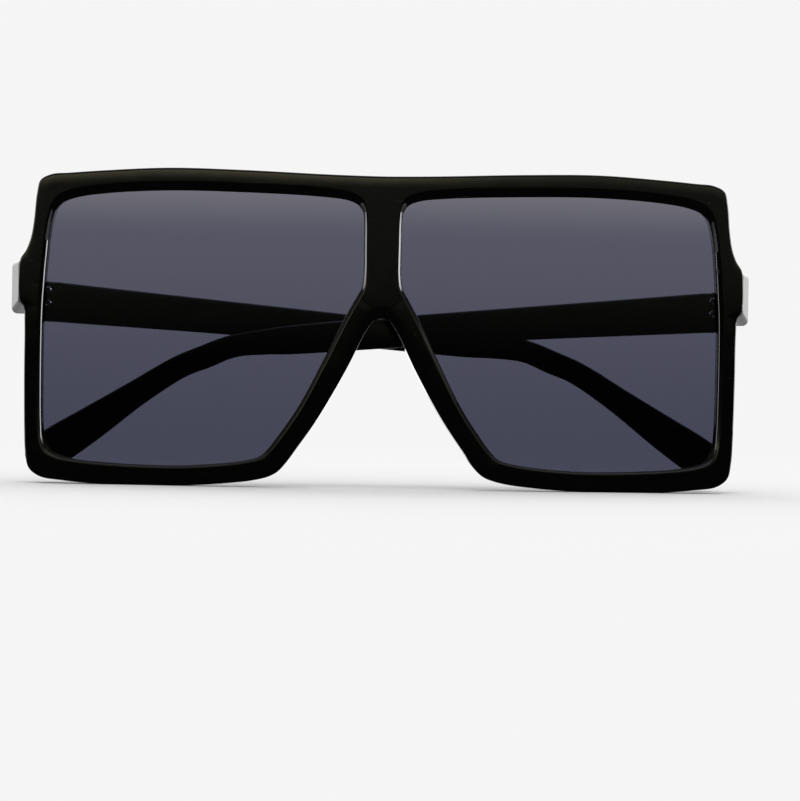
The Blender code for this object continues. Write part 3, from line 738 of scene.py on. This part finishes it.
def new_group(name, inputs, outputs):
    """A shader node group with these sockets, and its two end nodes."""
    group = bpy.data.node_groups.new(name, "ShaderNodeTree")
    for label, kind, value in inputs:
        socket = group.interface.new_socket(label, in_out="INPUT", socket_type=f"NodeSocket{kind}")
        if value is not None:
            socket.default_value = value
    for label, kind in outputs:
        group.interface.new_socket(label, in_out="OUTPUT", socket_type=f"NodeSocket{kind}")
    return group, group.nodes.new("NodeGroupInput"), group.nodes.new("NodeGroupOutput")


def fill(tree, node, values):
    """Links each named input of a node to a socket, or sets it to a plain value."""
    for socket, value in values.items():
        if isinstance(value, bpy.types.NodeSocket):
            tree.links.new(value, node.inputs[socket])
        else:
            node.inputs[socket].default_value = value
    return node


def add_node(tree, kind, values=None, **settings):
    """A node with its settings and its inputs."""
    node = tree.nodes.new(f"ShaderNode{kind}")
    for name, value in settings.items():
        setattr(node, name, value)
    return fill(tree, node, values or {})


def math_node(tree, operation, *values):
    return add_node(tree, "Math", dict(enumerate(values)), operation=operation).outputs[0]


def ramp(tree, value, none, full):
    """0 at none and past it, 1 at full and past it, and smooth between."""
    values = {"Value": value, "From Min": none, "From Max": full}
    return add_node(tree, "MapRange", values, interpolation_type="SMOOTHSTEP").outputs["Result"]


def noise(tree, place, size, detail, **more):
    values = {"Vector": place, "Scale": size, "Detail": detail, **more}
    return add_node(tree, "TexNoise", values).outputs["Fac"]


def mixed(tree, factor, first, second):
    """The first colour where the factor is 0, the second where it is 1."""
    colours = {COLOUR_A: first, COLOUR_B: second}
    for socket, value in colours.items():
        if not isinstance(value, bpy.types.NodeSocket):
            colours[socket] = (*value, 1.0)
    return add_node(tree, "Mix", {"Factor": factor, **colours}, data_type="RGBA").outputs[COLOUR_OUT]


print("helpers ready")

# %% Scratches and smudges
SCRATCH_TILT = 0.2
SCRATCH_RUNS = ((0.5, 0.045), (2.1, 0.06), (1.25, 0.035))
SCRATCH_EDGE = (0.70, 0.76)
SMUDGE_EDGE = (0.48, 0.72)
marks, given, made = new_group(
    "handling marks",
    [("Vector", "Vector", None), ("Scratch Size", "Float", 900.0), ("Smudge Size", "Float", 60.0)],
    [("Scratches", "Float"), ("Smudges", "Float")],
)
given = given.outputs
lines = []
for turn, stretch in SCRATCH_RUNS:
    values = {"Vector": given["Vector"], "Rotation": (SCRATCH_TILT, turn, turn), "Scale": (stretch, 1.0, 1.0)}
    stretched = add_node(marks, "Mapping", values).outputs[0]
    lines.append(ramp(marks, noise(marks, stretched, given["Scratch Size"], 2.0), *SCRATCH_EDGE))
scratches = math_node(marks, "MAXIMUM", math_node(marks, "MAXIMUM", lines[0], lines[1]), lines[2])
cloud = noise(marks, given["Vector"], given["Smudge Size"], 4.0, Roughness=0.6)
fill(marks, made, {"Scratches": scratches, "Smudges": ramp(marks, cloud, *SMUDGE_EDGE)})
print("group:", marks.name, "with", len(marks.nodes), "nodes")

# %% [markdown]
# ## Dust
# Gloss black shows every speck. Dust is a scatter of small round specks of uneven size: the cells of a
# Voronoi texture, each with its own random reach, and most of them left empty. It lightens the colour and
# dulls the gloss where it lies.

# %% Dust specks
SPECK_REACH = 0.16
SPECK_EDGE = 0.04
dust, given, made = new_group(
    "dust specks",
    [("Vector", "Vector", None), ("Spacing", "Float", 700.0), ("Amount", "Float", 0.12)],
    [("Specks", "Float")],
)
given = given.outputs
values = {"Vector": given["Vector"], "Scale": given["Spacing"], "Randomness": 1.0}
cells = add_node(dust, "TexVoronoi", values).outputs
chance = add_node(dust, "SeparateColor", {"Color": cells["Color"]}).outputs["Red"]
kept = ramp(dust, chance, math_node(dust, "SUBTRACT", 1.0, given["Amount"]), 1.0)
inside = math_node(dust, "SUBTRACT", math_node(dust, "MULTIPLY", kept, SPECK_REACH), cells["Distance"])
fill(dust, made, {"Specks": ramp(dust, inside, 0.0, SPECK_EDGE)})
print("group:", dust.name, "with", len(dust.nodes), "nodes")

# %% [markdown]
# ## Polished black plastic
# The frame is injection moulded and polished: nearly black right through, with a clear gloss. Its surface
# has the faint waviness of a moulding, which only shows in how reflections swim, so it is a very weak bump.
# Smudges, scratches and dust each add to the roughness, and dust lightens the colour.

# %% Gloss plastic
PLASTIC_TONES = ((0.0006, 0.0006, 0.0006), (0.0012, 0.0012, 0.0011))
DUST_COLOUR = (0.20, 0.19, 0.18)
DUST_COVER = 0.20
PLASTIC_IOR = 1.5


def start_material(name):
    """A new material with its node tree, its shader and the place on the piece."""
    material = bpy.data.materials.new(name)
    material.use_nodes = True
    tree = material.node_tree
    return material, tree, tree.nodes["Principled BSDF"], add_node(tree, "TexCoord").outputs["Object"]


def group_node(tree, group, values):
    node = tree.nodes.new("ShaderNodeGroup")
    node.node_tree = group
    return fill(tree, node, values).outputs


def roughened(tree, polished, *marked):
    """The roughness of the clean finish, plus each mark's mask times its share."""
    rough = polished
    for mask, share in marked:
        rough = math_node(tree, "MULTIPLY_ADD", mask, share, rough)
    return rough


def bump(tree, height, strength, distance):
    values = {"Height": height, "Strength": strength, "Distance": distance}
    return add_node(tree, "Bump", values).outputs[0]


gloss_black, tree, shader, place = start_material("polished black plastic")
wear = group_node(tree, marks, {"Vector": place, "Scratch Size": 1100.0, "Smudge Size": 70.0})
specks = group_node(tree, dust, {"Vector": place, "Spacing": 900.0, "Amount": 0.02})["Specks"]
tone = mixed(tree, noise(tree, place, 35.0, 3.0), *PLASTIC_TONES)
dusted = mixed(tree, math_node(tree, "MULTIPLY", specks, DUST_COVER), tone, DUST_COLOUR)
rough = roughened(tree, 0.045, (wear["Smudges"], 0.05), (wear["Scratches"], 0.09), (specks, 0.30))
height = math_node(tree, "MULTIPLY_ADD", wear["Scratches"], -0.10, noise(tree, place, 160.0, 1.0))
relief = bump(tree, height, 0.05, 0.0004)
fill(tree, shader, {"Base Color": dusted, "Roughness": rough, "Normal": relief, "IOR": PLASTIC_IOR})
print(gloss_black.name, "has", len(tree.nodes), "nodes")

# %% [markdown]
# ## Tinted lens
# The lens is a clear plastic dyed smoke blue-grey, so it passes about a tenth of the light, a little more of
# the blue. It is lightest along the top and darkens quickly below. The colour given to the material is what
# the whole lens passes: each of its two faces takes its own share of it.

# %% Lens plastic
PASSES_TOP = (0.205, 0.200, 0.232)
PASSES_MIDDLE = (0.104, 0.104, 0.146)
PASSES_FOOT = (0.070, 0.072, 0.110)
FOOT_TO_MIDDLE = (0.10 * FRONT_HEIGHT, 0.88 * FRONT_HEIGHT)
MIDDLE_TO_TOP = (0.78 * FRONT_HEIGHT, FRONT_HEIGHT)
lens_glass, tree, shader, place = start_material("smoke blue lens")
level = add_node(tree, "SeparateXYZ", {"Vector": place}).outputs["Z"]
tint = mixed(tree, ramp(tree, level, *FOOT_TO_MIDDLE), PASSES_FOOT, PASSES_MIDDLE)
tint = mixed(tree, ramp(tree, level, *MIDDLE_TO_TOP), tint, PASSES_TOP)
wear = group_node(tree, marks, {"Vector": place, "Scratch Size": 800.0, "Smudge Size": 45.0})
rough = roughened(tree, 0.004, (wear["Smudges"], 0.012), (wear["Scratches"], 0.03))
clear = {"Transmission Weight": 1.0, "IOR": PLASTIC_IOR}
fill(tree, shader, {"Base Color": tint, "Roughness": rough, **clear})
print(lens_glass.name, "passes", PASSES_TOP, "of the light at the top")

# %% [markdown]
# ## Hinge metals
# The leaves are stamped steel with a black coat, dull where the coat is grainy. The screws and rivets are
# left bright. Both get the same marks of handling, finer and denser, because the pieces are so small.

# %% Coated and bright steel
BLACK_COAT = (0.022, 0.022, 0.024)
WORN_COAT = (0.16, 0.16, 0.165)
COAT_METALLIC = 0.8
CLEAN_STEEL = (0.62, 0.62, 0.63)
HANDLED_STEEL = (0.48, 0.48, 0.50)
coated_metal, tree, shader, place = start_material("black coated steel")
wear = group_node(tree, marks, {"Vector": place, "Scratch Size": 2600.0, "Smudge Size": 500.0})
grain = noise(tree, place, 9000.0, 3.0)
coat = mixed(tree, wear["Scratches"], BLACK_COAT, WORN_COAT)
rough = roughened(tree, 0.24, (grain, 0.22))
relief = bump(tree, grain, 0.15, 0.00005)
fill(tree, shader, {"Base Color": coat, "Roughness": rough, "Normal": relief, "Metallic": COAT_METALLIC})

bright_metal, tree, shader, place = start_material("bright steel")
wear = group_node(tree, marks, {"Vector": place, "Scratch Size": 3200.0, "Smudge Size": 700.0})
sheen = mixed(tree, wear["Smudges"], CLEAN_STEEL, HANDLED_STEEL)
rough = roughened(tree, 0.16, (wear["Scratches"], 0.22))
relief = bump(tree, wear["Scratches"], 0.2, 0.00003)
fill(tree, shader, {"Base Color": sheen, "Roughness": rough, "Normal": relief, "Metallic": 1.0})
print(coated_metal.name, "and", bright_metal.name)

# %% Give each piece its finish
finishes = {
    "frame_plastic": gloss_black,
    "lens_plastic": lens_glass,
    "black_metal": coated_metal,
    "steel": bright_metal,
}
pieces = (front, *ends, *lenses, *temples)
solids = [(frame["nodes"][row["node"]], row["material_slot"]) for row in frame["record"]["subparts"]]
for thing, slot in [(piece, piece["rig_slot"]) for piece in pieces] + solids:
    thing.data.materials.clear()
    thing.data.materials.append(finishes[slot])
print("finished:", len(solids), "solids and", len(pieces), "pieces")

# %% [markdown]
# ## The stage
# The sunglasses stand on a pale floor, which takes their shadow. Away from them it fades into the pale
# surroundings that a camera or a lens sees, so that there is no horizon. A ray that the gloss has mirrored
# finds a dark card on the floor in front, and pale floor beside and behind: polished black shows whatever
# lies before it, and the card keeps the lower rims black.

# %% Floor and surroundings
PALE = (0.915, 0.915, 0.915)
DARK_CARD = (0.012, 0.012, 0.012)
PAPER_TONES = ((0.86, 0.86, 0.86), (0.88, 0.88, 0.88))
FLOOR_REACH = 0.42
FLOOR_SIDES = 96
FLOOR_FADE = (0.25 * FLOOR_REACH, 0.85 * FLOOR_REACH)
CARD_END_BESIDE = (0.076, 0.090)
CARD_END_BEHIND = (0.10, 0.25)


def ray_masks(tree):
    """(mirrored, seen): rays that the gloss has mirrored, and the others that a camera or a lens sends."""
    rays = add_node(tree, "LightPath").outputs
    mirrored = math_node(tree, "GREATER_THAN", rays["Glossy Depth"], 0.5)
    sent = math_node(tree, "MAXIMUM", rays["Is Camera Ray"], rays["Is Transmission Ray"])
    return mirrored, math_node(tree, "MULTIPLY", sent, math_node(tree, "SUBTRACT", 1.0, mirrored))


floor_form = bmesh.new()
bmesh.ops.create_circle(floor_form, cap_ends=True, segments=FLOOR_SIDES, radius=FLOOR_REACH)
floor_data = bpy.data.meshes.new("floor")
floor_form.to_mesh(floor_data)
floor_form.free()
floor = bpy.data.objects.new("floor", floor_data)
bpy.context.scene.collection.objects.link(floor)
floor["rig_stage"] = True

paper, tree, shader, place = start_material("pale paper")
sheet = mixed(tree, noise(tree, place, 900.0, 2.0), *PAPER_TONES)
fill(tree, shader, {"Base Color": sheet, "Roughness": 1.0, "Specular IOR Level": 0.0})
mirrored, seen = ray_masks(tree)
away = add_node(tree, "VectorMath", {0: place}, operation="LENGTH").outputs["Value"]
glows = math_node(tree, "MAXIMUM", math_node(tree, "MULTIPLY", seen, ramp(tree, away, *FLOOR_FADE)), mirrored)
spot = add_node(tree, "SeparateXYZ", {"Vector": place}).outputs
off_side = math_node(tree, "ADD", math_node(tree, "ABSOLUTE", spot["X"]), spot["Y"])
beside = ramp(tree, off_side, *CARD_END_BESIDE)
past_card = math_node(tree, "MAXIMUM", beside, ramp(tree, spot["Y"], *CARD_END_BEHIND))
on_card = math_node(tree, "MULTIPLY", mirrored, math_node(tree, "SUBTRACT", 1.0, past_card))
glow = add_node(tree, "Emission", {"Color": mixed(tree, on_card, PALE, DARK_CARD), "Strength": 1.0})
both = add_node(tree, "MixShader", {0: glows, 1: shader.outputs[0], 2: glow.outputs[0]})
tree.links.new(both.outputs[0], tree.nodes["Material Output"].inputs["Surface"])
floor_data.materials.append(paper)
print("floor reaches", FLOOR_REACH, "m")

# %% [markdown]
# ## The room
# Black gloss shows only what it mirrors, so the room is drawn for its reflections. Low in front it is dark.
# A little higher lies a brownish grey wall, which gives the brow its sheen and is darker towards one side.
# Two upright light cards stand well to the sides, the right one brighter, and draw the white lines on the
# chamfers. Behind the sunglasses all is pale, and overhead it is dim. Matt surfaces see an even grey, and the
# camera and the lenses see the plain backdrop. Places in the room are parts of a direction of length 1, so
# level is 0 and straight up is 1, and each pair tells where a part begins and where it is full.

# %% Room light
WALL_GREY = (0.115, 0.125, 0.100)
WALL_FOOT = (0.0, 0.035)
WALL_TOP = (0.32, 0.22)
SHEEN_BRIGHT = (1.25, 1.17, 0.79)
SHEEN_DIM = (0.50, 0.49, 0.37)
SHEEN_DIMS = (-0.02, 0.22)
SHEEN_FOOT = (0.045, 0.18)
BESIDE_GREY = (0.20, 0.20, 0.19)
BESIDE_ACROSS = (0.4, 0.8)
BESIDE_UP = (0.1, 0.4)
OVERHEAD_GREY = (0.22, 0.22, 0.22)
OVERHEAD_UP = (0.75, 0.95)
BEHIND_PALE = (1.5, 1.5, 1.5)
BEHIND_BACK = (0.1, 0.4)
MATT_SEES = (0.80, 0.80, 0.80)
CARDS = ((1.0, 13.0, math.radians(76)), (-1.0, 6.0, math.radians(80)))
CARD_OUTER_EDGE = math.radians(96)
CARD_EDGE_FADE = math.radians(4)
CARD_FOOT, CARD_TOP, CARD_END_FADE = -0.62, 0.20, 0.25


def window(tree, value, low, high, soft):
    """1 from low to high, falling softly to 0 outside."""
    rising = ramp(tree, value, low - soft, low)
    falling = ramp(tree, value, high, high + soft)
    return math_node(tree, "SUBTRACT", rising, falling)


world = bpy.data.worlds.new("room")
bpy.context.scene.world = world
world.use_nodes = True
tree = world.node_tree
look = add_node(tree, "TexCoord").outputs["Generated"]
across, back, up = add_node(tree, "SeparateXYZ", {"Vector": look}).outputs
round_from_front = math_node(tree, "ARCTAN2", across, math_node(tree, "MULTIPLY", back, -1.0))
below_top = ramp(tree, up, *WALL_TOP)
wall = mixed(tree, ramp(tree, up, *WALL_FOOT), DARK_CARD, WALL_GREY)
wall = mixed(tree, below_top, DARK_CARD, wall)
brown = mixed(tree, ramp(tree, across, *SHEEN_DIMS), SHEEN_BRIGHT, SHEEN_DIM)
room = mixed(tree, math_node(tree, "MULTIPLY", ramp(tree, up, *SHEEN_FOOT), below_top), wall, brown)
beside = ramp(tree, math_node(tree, "ABSOLUTE", across), *BESIDE_ACROSS)
room = mixed(tree, math_node(tree, "MULTIPLY", beside, ramp(tree, up, *BESIDE_UP)), room, BESIDE_GREY)
room = mixed(tree, ramp(tree, up, *OVERHEAD_UP), room, OVERHEAD_GREY)
room = mixed(tree, ramp(tree, back, *BEHIND_BACK), room, BEHIND_PALE)
card_height = window(tree, up, CARD_FOOT, CARD_TOP, CARD_END_FADE)
for side, light, inner_edge in CARDS:
    angle = math_node(tree, "MULTIPLY", round_from_front, side)
    card = window(tree, angle, inner_edge, CARD_OUTER_EDGE, CARD_EDGE_FADE)
    room = mixed(tree, math_node(tree, "MULTIPLY", card, card_height), room, (light, light, light))
mirrored, seen = ray_masks(tree)
lit = mixed(tree, mirrored, MATT_SEES, room)
fill(tree, tree.nodes["Background"], {"Color": mixed(tree, seen, lit, PALE), "Strength": 1.0})
print("room:", world.name, "with", len(tree.nodes), "nodes")

# %% [markdown]
# ## The lamp
# One broad soft box overhead lights the floor and the tops of the rims, and leaves a soft shadow close under
# the sunglasses.

# %% Soft box
BOX_PLACE = (0.05, 0.10, 0.95)
BOX_SIDE = 2.0
BOX_POWER = 6.0


def soft_box(name, place, aim, side, power):
    """A square area lamp that faces the aim."""
    lamp = bpy.data.lights.new(name, "AREA")
    lamp.shape = "RECTANGLE"
    lamp.size = side
    lamp.size_y = side
    lamp.energy = power
    box = bpy.data.objects.new(name, lamp)
    box.location = place
    box.rotation_euler = (Vector(aim) - Vector(place)).to_track_quat("-Z", "Y").to_euler()
    bpy.context.scene.collection.objects.link(box)
    return box


overhead = soft_box("overhead", BOX_PLACE, (0, 0, FRONT_HEIGHT / 2), BOX_SIDE, BOX_POWER)
print("soft box:", overhead.name, overhead.data.energy, "W")

# %% [markdown]
# ## The camera
# The photograph looks at the front from about two thirds of a metre, almost level and from a touch to the
# left, with a long lens. It was held a little askew, so the front slopes down slightly to the right.

# %% Camera
CAMERA_AWAY = 0.670
CAMERA_LIFT = math.radians(0.5)
CAMERA_ROUND = math.radians(1.28)
CAMERA_ROLL = math.radians(0.97)
AIM_ACROSS = 0.00385
AIM_HEIGHT = 0.01748
FOCAL_MM = 153.7
SENSOR_MM = 36.0
NEAREST_SEEN = 0.01
aim = Vector((AIM_ACROSS, front_low.y, AIM_HEIGHT))
flat_away = CAMERA_AWAY * math.cos(CAMERA_LIFT)
stand = Vector((-math.sin(CAMERA_ROUND) * flat_away, -math.cos(CAMERA_ROUND) * flat_away, 0))
stand.z = CAMERA_AWAY * math.sin(CAMERA_LIFT)
camera_data = bpy.data.cameras.new("camera")
camera_data.lens = FOCAL_MM
camera_data.sensor_width = SENSOR_MM
camera_data.clip_start = NEAREST_SEEN
camera = bpy.data.objects.new("camera", camera_data)
camera.location = aim + stand
facing = (aim - camera.location).to_track_quat("-Z", "Y").to_matrix().to_4x4()
camera.rotation_euler = (facing @ Matrix.Rotation(CAMERA_ROLL, 4, "Z")).to_euler()
bpy.context.scene.collection.objects.link(camera)
bpy.context.scene.camera = camera
bpy.context.scene.view_settings.view_transform = "Standard"
print("camera at", [round(value, 3) for value in camera.location])

# %% [markdown]
# ## Size
# The pieces must stay inside the solids they stand for, so both boxes are printed side by side.

# %% Print the sizes and finish
boxes_found = {"solids": solid_box, "pieces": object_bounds()}
for name, (low, high) in boxes_found.items():
    print(name, [mm(high[i] - low[i]) for i in range(3)], "mm")
